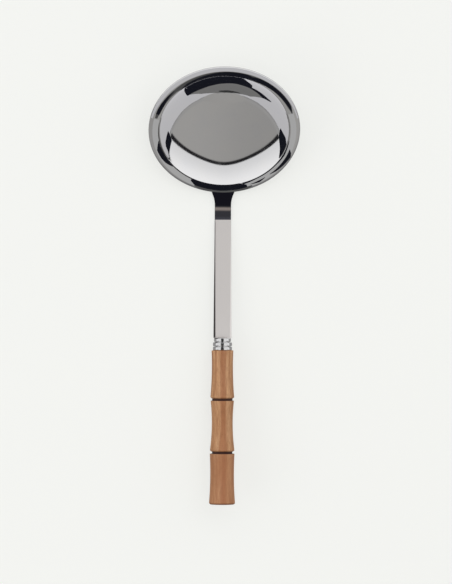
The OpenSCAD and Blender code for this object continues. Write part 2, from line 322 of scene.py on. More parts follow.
# %% [markdown]
# The weld under the neck is a bead of metal laid down in small overlapping puddles. Its ripples follow one
# another along the seam, and its colour wanders between straw and blue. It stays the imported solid, because
# its outline is right already, and only its surface is dressed.

# %% Weld metal


def weld_metal(name, place):
    material, tree, shader = new_material(name)
    local = placed(tree, place)
    x, _, _ = split(tree, local)
    wobble = noise(tree, local, 0.5, 3.0)
    ripples = calc(tree, "SINE", calc(tree, "ADD", calc(tree, "MULTIPLY", x, 5.0),
                                      calc(tree, "MULTIPLY", wobble, 4.0)))
    heat = noise(tree, local, 0.3, 2.0)
    shader.inputs["Metallic"].default_value = 1.0
    colour = blend(tree, step(tree, heat, 0.35, 0.65), (0.30, 0.27, 0.22, 1), (0.17, 0.18, 0.23, 1))
    tree.links.new(colour, shader.inputs["Base Color"])
    rough = calc(tree, "ADD", 0.32, calc(tree, "MULTIPLY", wobble, 0.2))
    rough_and_bump(tree, shader, rough, 0.5, 0.0003, ripples)
    return material


# %% [markdown]
# The handle is turned from a warm brown hardwood. Its fibres run along the handle, so every pattern is
# stretched that way: broad light and dark streaks, lighter patches, one redder streak down the middle, fine
# fibres, a darker mottle and short open pores. The last joint is a little redder. The two turned grooves
# look burnt, which is done by the distance along the handle from the middle of the nearer groove. The
# rounded end is darkened by painted shade together with its darker end grain. Each of these is a layer:
# where it lies, how strong it is, and its colour.

# %% Cane wood


def cane_wood(name, place):
    material, tree, shader = new_material(name)
    local = placed(tree, place)
    grain = stretched(tree, local, (1.0, 1.0, 0.055))
    short = stretched(tree, local, (1.0, 1.0, 0.16))
    x, _, z = split(tree, local)
    broad = noise(tree, grain, 0.42, 3.0, 0.55)
    fibres = noise(tree, grain, 3.2, 4.0, 0.7)
    pores = step(tree, noise(tree, short, 4.6, 1.0), 0.62, 0.72)
    patches = step(tree, noise(tree, short, 0.2, 2.0), 0.48, 0.66)
    mottle = step(tree, noise(tree, short, 1.2, 3.0, 0.6), 0.42, 0.66)
    wander = calc(tree, "MULTIPLY", calc(tree, "SUBTRACT", noise(tree, grain, 0.5, 1.0), 0.5), 3.0)
    offset = calc(tree, "ABSOLUTE", calc(tree, "SUBTRACT", calc(tree, "ADD", x, wander), 0.4))
    streak = calc(tree, "SUBTRACT", 1.0, step(tree, offset, 0.3, 3.4))
    first_groove = JOINTS[0][3] + GROOVE_W / 2
    second_groove = first_groove + GROOVE_W + JOINTS[1][3]
    off_groove = calc(tree, "MINIMUM", calc(tree, "ABSOLUTE", calc(tree, "SUBTRACT", z, first_groove)),
                      calc(tree, "ABSOLUTE", calc(tree, "SUBTRACT", z, second_groove)))
    burnt = calc(tree, "SUBTRACT", 1.0, step(tree, off_groove, GROOVE_W / 2 - 0.1, GROOVE_W / 2 + 0.15))
    last_joint = step(tree, z, second_groove - GROOVE_W / 2 - 2.5, second_groove + GROOVE_W / 2 + 4.0)
    # Painted shade on the rounded end, together with its darker end grain.
    end_shade_and_grain = step(tree, z, HANDLE_LEN - END_ROUND - 0.3, HANDLE_LEN - 0.2)
    colour = blend(tree, step(tree, broad, 0.32, 0.68), (0.335, 0.152, 0.063, 1), (0.475, 0.252, 0.119, 1))
    layers = [(patches, 0.5, (0.58, 0.345, 0.185, 1)),
              (streak, 0.75, (0.300, 0.110, 0.042, 1)),
              (step(tree, fibres, 0.48, 0.75), 0.35, (0.27, 0.115, 0.05, 1)),
              (mottle, 0.32, (0.22, 0.088, 0.033, 1)),
              (pores, 0.45, (0.14, 0.055, 0.025, 1)),
              (last_joint, 0.35, (0.30, 0.110, 0.048, 1)),
              (burnt, 1.0, (0.038, 0.010, 0.005, 1)),
              (end_shade_and_grain, 0.75, (0.16, 0.065, 0.03, 1))]
    for where, strength, tint in layers:
        colour = blend(tree, calc(tree, "MULTIPLY", where, strength), colour, tint)
    tree.links.new(colour, shader.inputs["Base Color"])
    shader.inputs["Specular IOR Level"].default_value = 0.35
    rough = calc(tree, "ADD", 0.46, calc(tree, "MULTIPLY", fibres, 0.16))
    height = calc(tree, "SUBTRACT", calc(tree, "MULTIPLY", fibres, 0.5), pores)
    rough_and_bump(tree, shader, rough, 0.22, 0.00015, height)
    return material


# %% [markdown]
# The tang is set in the handle with a casting resin, which cures to a cloudy brown. It hardly shows, but it
# gets the small bubbles and the uneven tint that such a resin has.

# %% Cured adhesive


def cured_adhesive(name, place):
    material, tree, shader = new_material(name)
    local = placed(tree, place)
    clouds = noise(tree, local, 0.4, 3.0)
    bubbles = add(tree, "ShaderNodeTexVoronoi", {"Vector": local, "Scale": 1.6}).outputs["Distance"]
    colour = blend(tree, clouds, (0.12, 0.095, 0.06, 1), (0.20, 0.165, 0.11, 1))
    tree.links.new(colour, shader.inputs["Base Color"])
    rough = calc(tree, "ADD", 0.28, calc(tree, "MULTIPLY", clouds, 0.2))
    rough_and_bump(tree, shader, rough, 0.2, 0.0001, step(tree, bubbles, 0.1, 0.3))
    return material


# %% [markdown]
# The bowl, the collar and the handle are all round pieces made from one outline, on a lathe or over a
# spinning former. One Geometry Nodes tree does the same: it takes half of the section as a line of points,
# lays out a grid with one column for each point, and bends the grid round the axis. The number of segments
# and the place are inputs with names, so the tree serves all three pieces. The result is turned into a
# plain mesh, because only plain meshes are exported.

# %% The lathe, as a Geometry Nodes tree


def lathe_tree():
    tree = bpy.data.node_groups.new("lathe", "GeometryNodeTree")
    sockets = tree.interface
    sockets.new_socket("Outline", in_out="INPUT", socket_type="NodeSocketGeometry")
    for name, kind in (("Segments", "Int"), ("Place", "Vector"), ("Turn", "Vector"), ("Finish", "Material")):
        sockets.new_socket(name, in_out="INPUT", socket_type="NodeSocket" + kind)
    sockets.new_socket("Piece", in_out="OUTPUT", socket_type="NodeSocketGeometry")
    given = add(tree, "NodeGroupInput").outputs
    points = add(tree, "GeometryNodeAttributeDomainSize", {0: given["Outline"]}).outputs["Point Count"]
    last = calc(tree, "SUBTRACT", points, 1.0)
    rows = calc(tree, "ADD", given["Segments"], 1.0)
    grid = add(tree, "GeometryNodeMeshGrid", {"Size X": last, "Size Y": given["Segments"],
                                              "Vertices X": points, "Vertices Y": rows})
    position = add(tree, "GeometryNodeInputPosition").outputs[0]
    x, y, _ = split(tree, position)
    column = calc(tree, "ROUND", calc(tree, "ADD", x, calc(tree, "DIVIDE", last, 2.0)))
    angle = calc(tree, "MULTIPLY", calc(tree, "DIVIDE", y, given["Segments"]), 2 * math.pi)
    sampled = add(tree, "GeometryNodeSampleIndex", {"Geometry": given["Outline"], "Index": column,
                                                    "Value": position}, data_type="FLOAT_VECTOR")
    radius, _, height = split(tree, sampled.outputs[0])
    ring = add(tree, "ShaderNodeCombineXYZ", {0: calc(tree, "MULTIPLY", radius, calc(tree, "COSINE", angle)),
                                              1: calc(tree, "MULTIPLY", radius, calc(tree, "SINE", angle)),
                                              2: height})
    bent = add(tree, "GeometryNodeSetPosition", {"Geometry": grid.outputs["Mesh"],
                                                 "Position": ring.outputs[0]})
    closed = add(tree, "GeometryNodeMergeByDistance", {"Geometry": bent.outputs[0], "Distance": 0.001})
    put = add(tree, "GeometryNodeTransform", {"Geometry": closed.outputs[0], "Translation": given["Place"],
                                              "Rotation": given["Turn"], "Scale": (MM, MM, MM)})
    real = add(tree, "GeometryNodeRealizeInstances", {"Geometry": put.outputs[0]})
    finished = add(tree, "GeometryNodeSetMaterial", {"Geometry": real.outputs[0],
                                                     "Material": given["Finish"]})
    add(tree, "NodeGroupOutput", {"Piece": finished.outputs[0]})
    return tree


LATHE = lathe_tree()
print("the lathe's tree has", len(LATHE.nodes), "nodes")

# %% [markdown]
# Three helpers turn this into a finished piece. A turned mesh has doubled points where its ends meet, and
# its faces may point inwards, so both are mended. Then the piece is put on its body and takes the place of
# the imported solid. Its box is printed.

# %% Helpers for finished pieces


def tidy_mesh(mesh, sharp):
    """Merges doubles, points the faces outwards, and keeps edges sharper than an angle crisp."""
    work = bmesh.new()
    work.from_mesh(mesh)
    bmesh.ops.remove_doubles(work, verts=work.verts, dist=1e-7)
    bmesh.ops.recalc_face_normals(work, faces=work.faces)
    work.to_mesh(mesh)
    work.free()
    mesh.shade_smooth()
    mesh.set_sharp_from_angle(angle=math.radians(sharp))


def finish_piece(piece, node):
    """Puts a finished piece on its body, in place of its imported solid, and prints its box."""
    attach(piece, "root")
    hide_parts(node)
    corners = [piece.matrix_world @ vertex.co for vertex in piece.data.vertices]
    low = tuple(round(min(c[i] for c in corners), 5) for i in range(3))
    high = tuple(round(max(c[i] for c in corners), 5) for i in range(3))
    print(piece.name, len(piece.data.polygons), "faces", low, high)


def turned_piece(name, outline, place, segments, material, sharp):
    """Turns an outline, given as radius and height in millimetres, and returns the finished object."""
    line = bpy.data.meshes.new(name + " outline")
    line.from_pydata([(r, 0, z) for r, z in outline], [(i, i + 1) for i in range(len(outline) - 1)], [])
    lathe = new_object(name + " lathe", line)
    modifier = lathe.modifiers.new("lathe", "NODES")
    modifier.node_group = LATHE
    position, turned, _ = place.decompose()
    values = {"Segments": segments, "Place": position, "Turn": turned.to_euler(), "Finish": material}
    for item in LATHE.interface.items_tree:
        if item.name in values and item.in_out == "INPUT":
            modifier[item.identifier] = values[item.name]
    lathe.update_tag()
    graph = bpy.context.evaluated_depsgraph_get()
    mesh = bpy.data.meshes.new_from_object(lathe.evaluated_get(graph), depsgraph=graph)
    mesh.name = name
    bpy.data.objects.remove(lathe)
    tidy_mesh(mesh, sharp)
    return new_object(name, mesh)


# %% [markdown]
# The bowl starts as a round blank that a press draws into a shallow part of a ball. The edge is then rolled
# outwards and down, which stiffens it and gives it a lip that pours cleanly. The sheet keeps its thickness
# all the way, so the inside and the outside of the outline are the same arcs with different radii. Where
# the ball turns into the lip the metal takes a small radius, and this soft shoulder catches the light as a
# thin line. The first and the last point of the outline are put exactly on the axis, so the bowl closes
# there.

# %% Bowl
SHOULDER_R = 1.7
BOWL_SEGMENTS, TURNED_SEGMENTS = 240, 128


def arc(centre, radius, start, end, count):
    """Points on an arc, with its angles in degrees from straight up towards the outside."""
    angles = [math.radians(start + (end - start) * i / count) for i in range(count + 1)]
    return [(centre[0] + radius * math.sin(a), centre[1] + radius * math.cos(a)) for a in angles]


def meet(first, first_r, second, second_r, side):
    """One of the two points where two circles meet."""
    gap = Vector(second) - Vector(first)
    along = (first_r ** 2 - second_r ** 2 + gap.length_squared) / (2 * gap.length)
    off = math.sqrt(first_r ** 2 - along ** 2)
    across = Vector((-gap.y, gap.x)).normalized()
    return Vector(first) + gap.normalized() * along + across * off * side


def bearing(centre, point):
    """The angle from straight up at which a point lies, seen from a centre."""
    return math.degrees(math.atan2(point[0] - centre[0], point[1] - centre[1]))


centre = Vector((0, SPHERE_Z))
lip_c = meet((MOUTH_R, 0), LIP_ROLL_R, LIP_EDGE, LIP_ROLL_R - BOWL_WALL / 2, -1)
corner = meet(centre, SPHERE_R + SHOULDER_R, lip_c, LIP_ROLL_R - SHOULDER_R, 1)


def bowl_outline():
    wall_end = bearing(centre, corner)
    lip_start, lip_end = bearing(lip_c, corner), bearing(lip_c, LIP_EDGE)
    print("lip centre", tuple(lip_c), "shoulder", tuple(corner), wall_end, lip_start, lip_end)
    inside = arc(centre, SPHERE_R, 180, wall_end, 72)
    inside += arc(corner, SHOULDER_R, wall_end - 180, lip_start, 12)[1:]
    inside += arc(lip_c, LIP_ROLL_R, lip_start, lip_end, 26)[1:]
    edge = arc(LIP_EDGE, BOWL_WALL / 2, lip_end, lip_end + 180, 12)[1:]
    outside = arc(lip_c, LIP_ROLL_R - BOWL_WALL, lip_end, lip_start, 18)[1:]
    outside += arc(corner, SHOULDER_R - BOWL_WALL, lip_start, wall_end - 180, 6)[1:]
    outside += arc(centre, SHELL_R, wall_end, 180, 40)[1:]
    points = inside + edge + outside
    points[0], points[-1] = (0, points[0][1]), (0, points[-1][1])
    return points


bowl_finish = polished_steel("polished steel of the bowl", AT_BOWL, 0.045)
bowl = turned_piece("bowl_drawn", bowl_outline(), AT_BOWL, BOWL_SEGMENTS, bowl_finish, 50)
finish_piece(bowl, "bowl")

# %% [markdown]
# The shank is one flat bar. It is thick at the handle and thin at the bowl, its sides are rounded, and past
# a small bend it rises to the lip and spreads into a root that follows the bowl's wall. It is made as a
# loft: one closed ring of points for the bar's section, repeated along the bar with the width and thickness
# of each place. The last rings are pulled on to the ball of the bowl, so the root ends inside the bowl's
# wall.

# %% The bar of the shank
EDGE_R = 0.3
WALL_BITE = 0.5
FLAT_STEPS, EDGE_STEPS, SIDE_STEPS = 6, 4, 5
BAR_STEPS, BEND_STEPS, NECK_STEPS = 40, 12, 40
PULLED_LEN, NECK_SPARE = 1.0, 7.0


def bar_section(width, thick):
    """A closed ring for a flat bar with rounded sides and slightly eased edges."""
    hub = width / 2 - SIDE_R
    edge_x = hub + math.sqrt((SIDE_R - EDGE_R) ** 2 - (thick / 2 - EDGE_R) ** 2)
    side = math.degrees(math.atan2(thick / 2 - EDGE_R, edge_x - hub))
    quarter = [(edge_x * i / FLAT_STEPS, thick / 2) for i in range(FLAT_STEPS)]
    quarter += [(edge_x + EDGE_R * math.cos(a), thick / 2 - EDGE_R + EDGE_R * math.sin(a))
                for a in (math.radians(90 - (90 - side) * i / EDGE_STEPS) for i in range(EDGE_STEPS + 1))]
    quarter += [(hub + SIDE_R * math.cos(a), SIDE_R * math.sin(a))
                for a in (math.radians(side * (1 - i / SIDE_STEPS)) for i in range(1, SIDE_STEPS + 1))]
    lower = [(x, -z) for x, z in reversed(quarter[:-1])]
    right = quarter + lower
    left = [(-x, z) for x, z in reversed(right[1:-1])]
    return right + left


def neck_width(run):
    """Width of the neck at a place along it, with the flare of the root."""
    past = max(0.0, run - (neck_run - FLARE_LEN))
    spread = FLARE_R - math.sqrt(max(0.0, FLARE_R ** 2 - past ** 2))
    return min(ROOT_W, NECK_W + 2 * spread)


def wall_reach(x, z):
    """How far a line at (x, z) of the neck's section runs until it has bitten into the bowl's wall."""
    start = Vector((x, bend_y - z * math.sin(slope), bend_z + z * math.cos(slope)))
    along = Vector((0, math.cos(slope), math.sin(slope)))
    gap = start - Vector((0, *ball))
    b = gap.dot(along)
    return -b - math.sqrt(b * b - gap.length_squared + (SHELL_R - WALL_BITE) ** 2)


def shank_rings():
    """The rings of the bar, from the collar to the bowl, in the side view's frame."""
    rings = []
    for i in range(BAR_STEPS + 1):
        share = i / BAR_STEPS
        width = SHANK_W + (NECK_W - SHANK_W) * share
        thick = SHANK_T + (NECK_T - SHANK_T) * share
        rings.append([(x, -SHANK_LEN * (1 - share), z) for x, z in bar_section(width, thick)])
    for i in range(1, BEND_STEPS + 1):
        a = slope * i / BEND_STEPS
        rings.append([(x, BEND_R * math.sin(a) - z * math.sin(a),
                       BEND_R * (1 - math.cos(a)) + z * math.cos(a)) for x, z in bar_section(NECK_W, NECK_T)])
    stop = neck_run - PULLED_LEN
    farthest = neck_run + NECK_SPARE
    for i in range(1, NECK_STEPS + 1):
        nominal = i / NECK_STEPS * farthest
        ring = []
        for x, z in bar_section(neck_width(nominal), NECK_T):
            run = nominal
            if nominal >= stop:
                run = stop + (nominal - stop) / (farthest - stop) * (wall_reach(x, z) - stop)
            ring.append((x, bend_y + run * math.cos(slope) - z * math.sin(slope),
                         bend_z + run * math.sin(slope) + z * math.cos(slope)))
        rings.append(ring)
    return rings


print("the bar has", len(shank_rings()), "rings of", len(bar_section(SHANK_W, SHANK_T)), "points")

# %% [markdown]
# The tang runs on from the bar into the handle and has notches, in which the adhesive grips. It is a second
# loft, which starts a little way inside the bar. Bar and tang go into one mesh, because they are one bar.

# %% The tang and the finished shank
NOTCHES, NOTCH_DEPTH, NOTCH_LEN, TANG_START = 5, 0.8, 2.4, 0.3


def loft(mesh_points, faces, rings):
    """Adds a closed loft through rings of equal count."""
    start, count = len(mesh_points), len(rings[0])
    for ring in rings:
        mesh_points += ring
    for i in range(len(rings) - 1):
        for j in range(count):
            a, b = start + i * count + j, start + i * count + (j + 1) % count
            faces.append((a, b, b + count, a + count))
    faces.append(tuple(start + j for j in range(count)))
    faces.append(tuple(start + (len(rings) - 1) * count + j for j in reversed(range(count))))


def tang_rings():
    """The notched tang, as rings along it that step in at each notch."""
    wide, thin = TANG_W, TANG_W - 2 * NOTCH_DEPTH
    places = [(TANG_START, wide)]
    for i in range(1, NOTCHES + 1):
        middle = i * TANG_LEN / (NOTCHES + 1)
        places += [(-middle + NOTCH_LEN / 2, wide), (-middle + NOTCH_LEN / 2, thin),
                   (-middle - NOTCH_LEN / 2, thin), (-middle - NOTCH_LEN / 2, wide)]
    places.append((-TANG_LEN, TANG_W))
    rings = []
    for y, width in reversed(places):
        w, t = width / 2, TANG_T / 2
        rings.append([(w, -SHANK_LEN + y, t), (w, -SHANK_LEN + y, -t), (-w, -SHANK_LEN + y, -t),
                      (-w, -SHANK_LEN + y, t)])
    return rings


shank_points, shank_faces = [], []
loft(shank_points, shank_faces, shank_rings())
loft(shank_points, shank_faces, tang_rings())
shank_finish = brushed_steel("brushed steel of the shank", AT_REST)
shank_mesh = bpy.data.meshes.new("shank_bar")
shank_mesh.from_pydata([AT_REST @ Vector(p) for p in shank_points], [], shank_faces)
tidy_mesh(shank_mesh, 40)
shank_mesh.materials.append(shank_finish)
shank = new_object("shank_bar", shank_mesh)
finish_piece(shank, "shank")

# %% [markdown]
# The collar hides the joint between the steel and the wood. It is turned with three beads, a small one and
# two larger ones. Each bead is a flat barrel that falls away quickly at its rims, which a power curve draws
# better than an arc: the higher the power, the flatter the middle.

# %% Collar
BEAD_POWER = 6
BEAD_STEPS = 12


def collar_outline():
    points = [(BORE_D / 2, 0.0)]
    z = 0.0
    floor = BORE_D / 2 + COLLAR_WALL
    for diameter, length in ((BEAD_D, BEAD_LEN), (RIB_D, RIB_LEN), (RIB_D, RIB_LEN)):
        if z > 0:
            points += [(floor, z - RIB_GAP), (floor, z)]
        for i in range(-BEAD_STEPS, BEAD_STEPS + 1):
            share = math.sin(math.radians(90 * i / BEAD_STEPS))
            fall = BEAD_BULGE * abs(share) ** BEAD_POWER
            points.append((diameter / 2 - fall, z + length / 2 * (1 + share)))
        z += length + RIB_GAP
    points += [(BORE_D / 2, z - RIB_GAP), (BORE_D / 2, 0.0)]
    return points


collar_finish = polished_steel("polished steel of the collar", along_handle(-SHANK_LEN), 0.11)
collar = turned_piece("collar_beaded", collar_outline(), along_handle(-SHANK_LEN), TURNED_SEGMENTS,
                      collar_finish, 30)
finish_piece(collar, "collar")

# %% [markdown]
# The handle imitates a cane: three joints, each drawn in at its waist, with a turned groove between them.
# The waist is a single arc through the joint's start, middle and end, as a turner would sweep it. The last
# joint has a rounded end, and the sharp edges, which turners call arrises, are eased a little. Inside is
# the bore for the tang, ending in the cone that the drill leaves.

# %% Handle
ARRIS, ARRIS_SHARE = 0.22, 0.3
GROOVE_EASE_D, GROOVE_EASE_W = 0.15, 0.2
WAIST_STEPS, END_STEPS = 40, 8
DRILL_HALF_ANGLE = 59


def circle_through(a, b, c):
    """Centre and radius of the circle through three points."""
    d = 2 * (a[0] * (b[1] - c[1]) + b[0] * (c[1] - a[1]) + c[0] * (a[1] - b[1]))
    sq = [p[0] ** 2 + p[1] ** 2 for p in (a, b, c)]
    x = (sq[0] * (b[1] - c[1]) + sq[1] * (c[1] - a[1]) + sq[2] * (a[1] - b[1])) / d
    y = (sq[0] * (c[0] - b[0]) + sq[1] * (a[0] - c[0]) + sq[2] * (b[0] - a[0])) / d
    return (x, y), math.hypot(a[0] - x, a[1] - y)


def waist(joint, start, cut):
    """Points down a joint's drawn-in side, from its start to the place where its end is cut."""
    first, middle, last, length = joint
    ends = (first / 2, 0.0), (middle / 2, length / 2), (last / 2, length - cut)
    (cx, cz), radius = circle_through(*ends)
    heights = [ARRIS + (length - cut - ARRIS) * i / WAIST_STEPS for i in range(WAIST_STEPS + 1)]
    side = [(cx - math.sqrt(radius ** 2 - (h - cz) ** 2), start + h) for h in heights]
    return [(first / 2 - ARRIS, start), (first / 2 - ARRIS * ARRIS_SHARE, start + ARRIS * ARRIS_SHARE)] + side


def handle_outline():
    """The outside of the handle from its start to its end, and the bore back again."""
    floor = GROOVE_D / 2
    points = [(BORE_D / 2, 0.0)]
    z = 0.0
    for index, joint in enumerate(JOINTS):
        is_last = index == len(JOINTS) - 1
        points += waist(joint, z, END_ROUND if is_last else GROOVE_CHAMFER)
        z += joint[3]
        if not is_last:
            points += [(joint[2] / 2 - GROOVE_CHAMFER, z), (floor + GROOVE_EASE_D, z),
                       (floor, z + GROOVE_EASE_W), (floor, z + GROOVE_W - GROOVE_EASE_W),
                       (floor + GROOVE_EASE_D, z + GROOVE_W)]
            z += GROOVE_W
    corner = (JOINTS[-1][2] / 2 - END_ROUND, z - END_ROUND)
    points += [(corner[0] + END_ROUND * math.cos(a), corner[1] + END_ROUND * math.sin(a))
               for a in (math.radians(90 * i / END_STEPS) for i in range(1, END_STEPS + 1))]
    points.append((0.0, z))
    bore_tip = BORE_LEN + BORE_D / 2 / math.tan(math.radians(DRILL_HALF_ANGLE))
    return points + [(0.0, bore_tip), (BORE_D / 2, BORE_LEN), (BORE_D / 2, 0.0)]


handle_place = along_handle(HANDLE_Y)
wood_finish = cane_wood("turned wood of the handle", handle_place)
handle = turned_piece("handle_cane", handle_outline(), handle_place, TURNED_SEGMENTS, wood_finish, 28)
finish_piece(handle, "handle")

# %% [markdown]
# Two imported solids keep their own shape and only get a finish: the weld bead under the neck and the
# adhesive round the tang. Their meshes are left alone, and the material goes into their slots.

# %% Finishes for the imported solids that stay


def dress(node_name, material):
    """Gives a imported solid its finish, in every slot that it has."""
    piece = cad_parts[node_name]
    if piece.data.materials:
        for i in range(len(piece.data.materials)):
            piece.data.materials[i] = material
    else:
        piece.data.materials.append(material)
    print(node_name, "keeps its mesh of", len(piece.data.polygons), "faces")


dress("root_weld", weld_metal("weld metal", AT_REST))
dress("tang_adhesive", cured_adhesive("cured adhesive", AT_REST))

# %% [markdown]
# Polished steel has hardly a colour of its own and shows what stands round it, so the room is part of the
# look. The world's colour is drawn by direction, like the sheets of a small studio: a mid grey ceiling,
# which is a little lighter to the right, and beyond the bowl a white screen with a dark edge, which
# brightens away from that edge. The camera itself sees one pale tone instead, through Light Path.

# %% Room
PALE, CEILING = (0.896, 0.905, 0.877, 1), (0.45, 0.442, 0.43, 1)
SCREEN_LEAN, SCREEN_BEND_UP, SCREEN_BEND_ACROSS = 0.47, 0.0144, 0.1225
SCREEN_SOFT, SCREEN_BRIGHTEST = 0.02, 0.6
DARK_START, DARK_FULL = -0.095, -0.065

world = bpy.data.worlds.new("room")
bpy.context.scene.world = world
world.use_nodes = True
room = world.node_tree
room.nodes.clear()
across, ahead, up = split(room, add(room, "ShaderNodeTexCoord").outputs["Generated"])


def weighed_square(value, weight):
    """A direction's square times a weight."""
    return calc(room, "MULTIPLY", calc(room, "MULTIPLY", value, value), weight)


bend = calc(room, "SQRT", calc(room, "ADD", weighed_square(up, SCREEN_BEND_UP),
                               weighed_square(across, SCREEN_BEND_ACROSS)))
past_line = calc(room, "ADD", calc(room, "SUBTRACT", ahead, calc(room, "MULTIPLY", up, SCREEN_LEAN)), bend)
screen = step(room, past_line, 0.0, SCREEN_SOFT)
dark_edge = calc(room, "SUBTRACT", step(room, past_line, DARK_START, DARK_FULL), screen)
white = blend(room, step(room, past_line, 0.0, SCREEN_BRIGHTEST), (0.97, 0.97, 0.985, 1),
              (1.27, 1.27, 1.28, 1))
ceiling = blend(room, step(room, across, -0.9, 0.9), (0.41, 0.403, 0.395, 1), (0.48, 0.472, 0.46, 1))
tone = blend(room, dark_edge, blend(room, screen, ceiling, white), (0.02, 0.02, 0.022, 1))
for_mirrors = add(room, "ShaderNodeBackground", {"Color": tone}).outputs[0]
for_camera = add(room, "ShaderNodeBackground", {"Color": PALE}).outputs[0]
seen = add(room, "ShaderNodeLightPath").outputs["Is Camera Ray"]
shown = add(room, "ShaderNodeMixShader", {0: seen, 1: for_mirrors, 2: for_camera})
add(room, "ShaderNodeOutputWorld", {"Surface": shown.outputs[0]})
print("the room has", len(room.nodes), "nodes")

# %% [markdown]
# The floor is a large pale sheet. Part of what the camera sees of it is a plain glow and part is a matt
# colour that takes the lamps' light, so the ladle's shadow on it stays faint. The underside of the bowl
# mirrors the floor, and mirrors get a darker tone of it, with a painted shadow that is darkest below the
# bowl, where hardly any light comes. Light that bounces between floor and ladle finds a plain matt floor.

# %% Floor
FLOOR_HALF = 6
MATT_SHARE = 0.30
BELOW_BOWL, DARKEST_TO, LIGHTEST_FROM = (0, 0.085, 0), 0.01, 0.16

floor_material, tree = empty_material("pale floor")
where = add(tree, "ShaderNodeTexCoord").outputs["Object"]
away = add(tree, "ShaderNodeVectorMath", {0: where, 1: BELOW_BOWL}, operation="DISTANCE").outputs["Value"]
# Painted shadow: in mirrors the floor is darkest below the bowl, in place of the ladle's shadow.
mirrored_tone_with_painted_shadow = blend(tree, step(tree, away, DARKEST_TO, LIGHTEST_FROM), (0.20, 0.20, 0.205, 1),
                      (0.44, 0.435, 0.43, 1))
mirrored = add(tree, "ShaderNodeEmission", {"Color": mirrored_tone_with_painted_shadow})
matt = add(tree, "ShaderNodeBsdfDiffuse", {"Color": (0.80, 0.81, 0.785, 1)})
lit = add(tree, "ShaderNodeBsdfDiffuse", {"Color": tuple(c * MATT_SHARE for c in PALE[:3]) + (1,)})
glow = add(tree, "ShaderNodeEmission", {"Color": PALE, "Strength": 1 - MATT_SHARE})
bright = add(tree, "ShaderNodeAddShader", {0: lit.outputs[0], 1: glow.outputs[0]})
path = add(tree, "ShaderNodeLightPath").outputs
unseen = add(tree, "ShaderNodeMixShader", {0: path["Is Glossy Ray"], 1: matt.outputs[0],
                                           2: mirrored.outputs[0]})
floor_look = add(tree, "ShaderNodeMixShader", {0: path["Is Camera Ray"], 1: unseen.outputs[0],
                                               2: bright.outputs[0]})
add(tree, "ShaderNodeOutputMaterial", {"Surface": floor_look.outputs[0]})
floor_mesh = bpy.data.meshes.new("floor")
floor_mesh.from_pydata([(x * FLOOR_HALF, y * FLOOR_HALF, 0) for x, y in ((-1, -1), (1, -1), (1, 1), (-1, 1))],
                       [], [(0, 1, 2, 3)])
floor_mesh.materials.append(floor_material)
made = new_object("floor", floor_mesh)
print("the floor is", 2 * FLOOR_HALF, "m wide")

# %% [markdown]
# A photographer shapes the shine of polished steel with light cards and with dark ones, called flags. The
# same is done here, with sheets of one even tone that show in mirrors only: the camera doesn't see them and
# they cast no shadow. Each is given by the place where its mirror image should lie in the bowl: angles
# round the bowl, counted from the right, and at each angle an outer and an inner distance from the bowl's
# axis. The law of the mirror then tells where to hold it, which is a short way from that place along the
# reflected line of sight. Where the wall is seen at a flat angle the card comes closer still, because a
# hollow mirror turns a picture over once it lies past the focus.
#
# The cards have costs. They stand nearer than a photographer could hold them, because a card farther off
# would also show in the middle of the bowl, which looks almost everywhere. They follow the camera's line of
# sight, so from other sides they show in the bowl as patches with hard edges. They carry the mark of the
# floor and the backdrop, which is a wider use than that mark is meant for.

# %% How a card is placed
sight = looking @ Vector((0, 0, -1))
DEGREES_APART, CARD_ROWS = 3, 8
FLAT_VIEW_GAIN, SMALLEST_SHARE = 2.5, 0.05
BLACK, DARK, DIM = (0.011, 0.012, 0.018, 1), grey(0.10), (0.23, 0.228, 0.225, 1)
LIGHT = (0.70, 0.695, 0.72, 1)


def card(name, tone, points, faces):
    """A sheet of one even tone that shows in mirrors only."""
    material, tree = empty_material(name)
    glow = add(tree, "ShaderNodeEmission", {"Color": tone})
    add(tree, "ShaderNodeOutputMaterial", {"Surface": glow.outputs[0]})
    mesh = bpy.data.meshes.new(name)
    mesh.from_pydata(points, [], faces)
    mesh.materials.append(material)
    made = new_object(name, mesh)
    made.visible_camera = made.visible_diffuse = made.visible_shadow = made.visible_transmission = False
    print(name, len(faces), "faces")


def bowl_place(radius, degrees):
    """A point on the inside of the bowl and the direction in which the steel faces there."""
    wall = (centre, -SPHERE_R) if radius < (corner - centre).normalized().x * SPHERE_R else None
    lip = (lip_c, LIP_ROLL_R) if radius > (lip_c + (corner - lip_c).normalized() * LIP_ROLL_R).x else None
    hub, size = wall or lip or (corner, SHOULDER_R)
    height = hub.y + math.copysign(math.sqrt(size ** 2 - (radius - hub.x) ** 2), size)
    facing = (Vector((radius, height)) - hub) / size
    a = math.radians(degrees)
    point = AT_BOWL @ Vector((radius * math.cos(a), radius * math.sin(a), height))
    normal = AT_BOWL.to_3x3() @ Vector((facing.x * math.cos(a), facing.x * math.sin(a), facing.y))
    return point, normal.normalized()


def bowl_card(name, tone, distance, stations):
    """A card that the bowl mirrors at stations: an angle, an outer and an inner distance from the axis."""
    columns = []
    for first, second in zip(stations, stations[1:]):
        count = max(1, round((second[0] - first[0]) / DEGREES_APART))
        columns += [[f + (n - f) * i / count for f, n in zip(first, second)] for i in range(count)]
    columns.append(stations[-1])
    points, faces = [], []
    for degrees, outer, inner in columns:
        for i in range(CARD_ROWS + 1):
            point, normal = bowl_place(outer + (inner - outer) * i / CARD_ROWS, degrees)
            closer = min(1.0, max(SMALLEST_SHARE, -FLAT_VIEW_GAIN * sight.dot(normal)))
            points.append(point + sight.reflect(normal) * (distance * MM * closer))
    for i in range(len(columns) - 1):
        for j in range(CARD_ROWS):
            a = i * (CARD_ROWS + 1) + j
            faces.append((a, a + 1, a + CARD_ROWS + 2, a + CARD_ROWS + 1))
    card(name, tone, points, faces)


